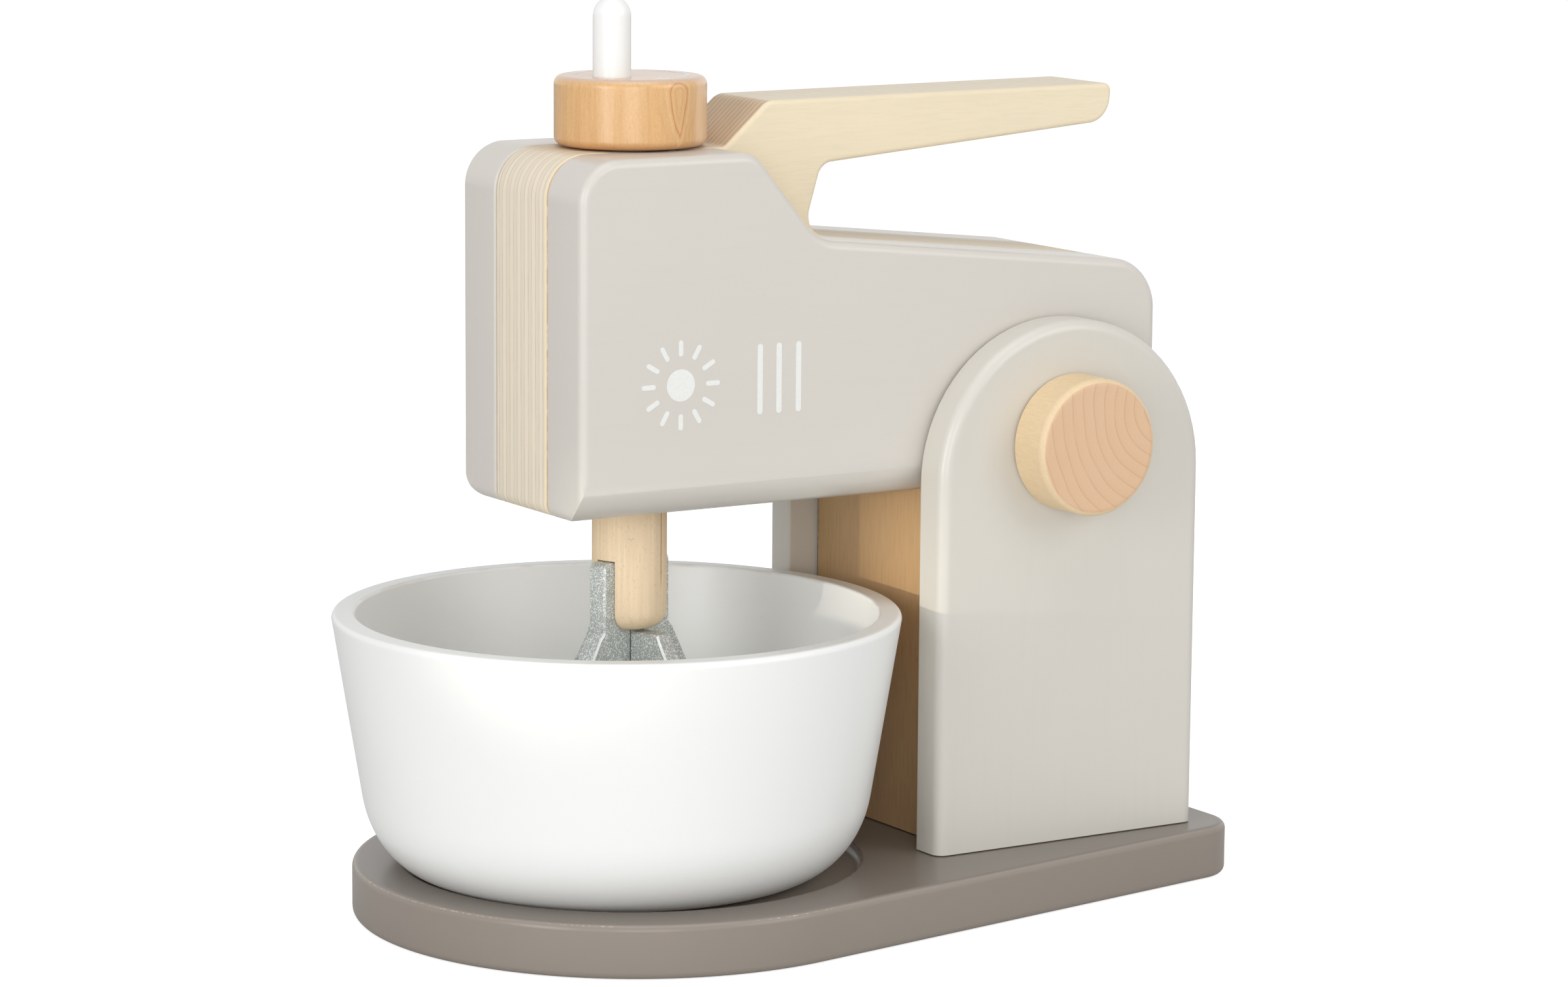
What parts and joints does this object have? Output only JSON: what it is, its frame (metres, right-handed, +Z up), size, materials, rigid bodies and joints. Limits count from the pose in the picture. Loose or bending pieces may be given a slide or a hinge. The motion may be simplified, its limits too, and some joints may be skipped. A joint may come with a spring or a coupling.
{
  "type": "toy stand mixer",
  "caption": "Child's wooden stand mixer: a tilting arm with handle and crank-driven beater over a loose round bowl on a shaped base.",
  "frame": {"origin": "centre of the base's round front, on the base's flat underside", "axes": "+Z up, -X the way the arm and its head point, +X towards the posts and the base's straight back edge, -Y the side with the printed mark"},
  "size_m": [0.2468, 0.1528, 0.2453],
  "materials": {
    "grey_paint": "fibreboard with satin warm grey paint",
    "taupe_paint": "fibreboard with satin taupe paint",
    "plywood": "clear satin lacquer on pale birch plywood, with its layers at the edges",
    "beech": "clear satin lacquer on turned beech",
    "maple": "raw smooth dowel",
    "white_paint": "satin white paint",
    "silver_plastic": "moulded plastic with silver flakes",
    "steel": "zinc plated"
  },
  "bodies": {
    "stand": {"base_plate": "taupe_paint", "near_post": "grey_paint", "far_post": "grey_paint", "spacer_block": "plywood", "base_screw_1": "steel", "base_screw_2": "steel", "base_screw_3": "steel", "base_screw_4": "steel", "base_screw_5": "steel", "base_screw_6": "steel", "post_dowel_1": "maple", "post_dowel_2": "maple"},
    "bowl": {"bowl": "white_paint"},
    "pivot": {"pivot_pin": "maple", "near_pivot_knob": "beech", "far_pivot_knob": "beech"},
    "arm": {"near_cheek": "grey_paint", "far_cheek": "grey_paint", "arm_core": "plywood", "arm_dowel_1": "maple", "arm_dowel_2": "maple", "arm_dowel_3": "maple"},
    "crank": {"crank_knob": "beech", "crank_peg": "white_paint", "drive_dowel": "maple", "beater_pin": "steel", "beater": "silver_plastic"}
  },
  "joints": [
    {"name": "arm_tilt", "type": "hinge", "parent": "stand", "child": "arm", "pos_m": [0.109, 0, 0.1247], "axis": [0, 1, 0], "range_deg": [0, 80]},
    {"name": "crank_turn", "type": "hinge", "parent": "arm", "child": "crank", "pos_m": [-0.0026, 0, 0.2], "axis": [0, 0, 1], "continuous": true},
    {"name": "pivot_turn", "type": "hinge", "parent": "stand", "child": "pivot", "pos_m": [0.109, 0, 0.1247], "axis": [0, 1, 0], "continuous": true},
    {"name": "bowl_lift", "type": "slide", "parent": "stand", "child": "bowl", "axis": [0, 0, 1], "range_m": [0, 0.006]}
  ]
}
